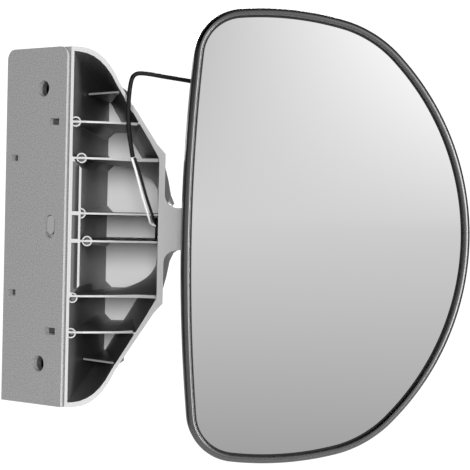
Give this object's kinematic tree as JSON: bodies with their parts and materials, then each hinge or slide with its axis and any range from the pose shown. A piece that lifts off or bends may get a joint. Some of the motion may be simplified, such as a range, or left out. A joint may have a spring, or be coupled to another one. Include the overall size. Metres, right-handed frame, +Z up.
{
  "type": "convex kerb mirror",
  "caption": "D-shaped convex mirror head on a ball joint at the end of a short neck, carried by a ribbed open bracket with a flat mounting pad and a heater lead.",
  "frame": {"origin": "midway between the two bolt holes, on the mounting face of the pad", "axes": "-X out of the mounting face towards the vehicle, +Z up along the pad, +Y towards the pad's far edge; the mirror faces -X and -Y, its plane turned 48 degrees from the mounting face"},
  "size_m": [0.159, 0.247, 0.2588],
  "materials": {
    "bracket_housing": "smooth moulded light grey, satin",
    "mounting_pad": "matte grainy mid grey",
    "socket_liner": "natural acetal",
    "socket_cup": "zinc plated",
    "preload_washer": "spring steel",
    "clamp_ring": "zinc plated",
    "clamp_screws": "zinc plated",
    "ball_stud": "turned and polished",
    "flange_screws": "zinc plated",
    "mirror_glass": "silvered on the back",
    "rim_seal": "black rubber",
    "heater_film": "printed film",
    "glass_carrier": "black moulding",
    "rim_bezel": "glossy dark moulding",
    "head_shell": "black moulding",
    "shell_screws": "zinc plated",
    "heater_terminals": "tinned brass",
    "heater_leads": "insulated wire",
    "lead_grommet": "black rubber",
    "white_wire": "white insulation",
    "black_wire": "black insulation",
    "lead_sheath": "black soft sheath",
    "lead_connector": "black moulding",
    "connector_pins": "tinned"
  },
  "bodies": {
    "bracket": {"bracket_housing": "bracket_housing", "mounting_pad": "mounting_pad", "socket_cup": "socket_cup", "preload_washer": "preload_washer", "clamp_ring": "clamp_ring", "clamp_screws": "clamp_screws", "lead_grommet": "lead_grommet", "white_wire": "white_wire", "black_wire": "black_wire", "lead_sheath": "lead_sheath", "lead_connector": "lead_connector", "connector_pins": "connector_pins"},
    "liner": {"socket_liner": "socket_liner"},
    "head": {"ball_stud": "ball_stud", "flange_screws": "flange_screws", "mirror_glass": "mirror_glass", "rim_seal": "rim_seal", "heater_film": "heater_film", "glass_carrier": "glass_carrier", "rim_bezel": "rim_bezel", "head_shell": "head_shell", "shell_screws": "shell_screws", "heater_terminals": "heater_terminals", "heater_leads": "heater_leads"}
  },
  "joints": [
    {"name": "pan", "type": "hinge", "parent": "bracket", "child": "liner", "pos_m": [0.10107, -0.111, 0], "axis": [0, 0, 1], "range_deg": [-8, 8]},
    {"name": "tilt", "type": "hinge", "parent": "liner", "child": "head", "pos_m": [0.10107, -0.111, 0], "axis": [0.7431, -0.6691, 0], "range_deg": [-8, 8]}
  ]
}
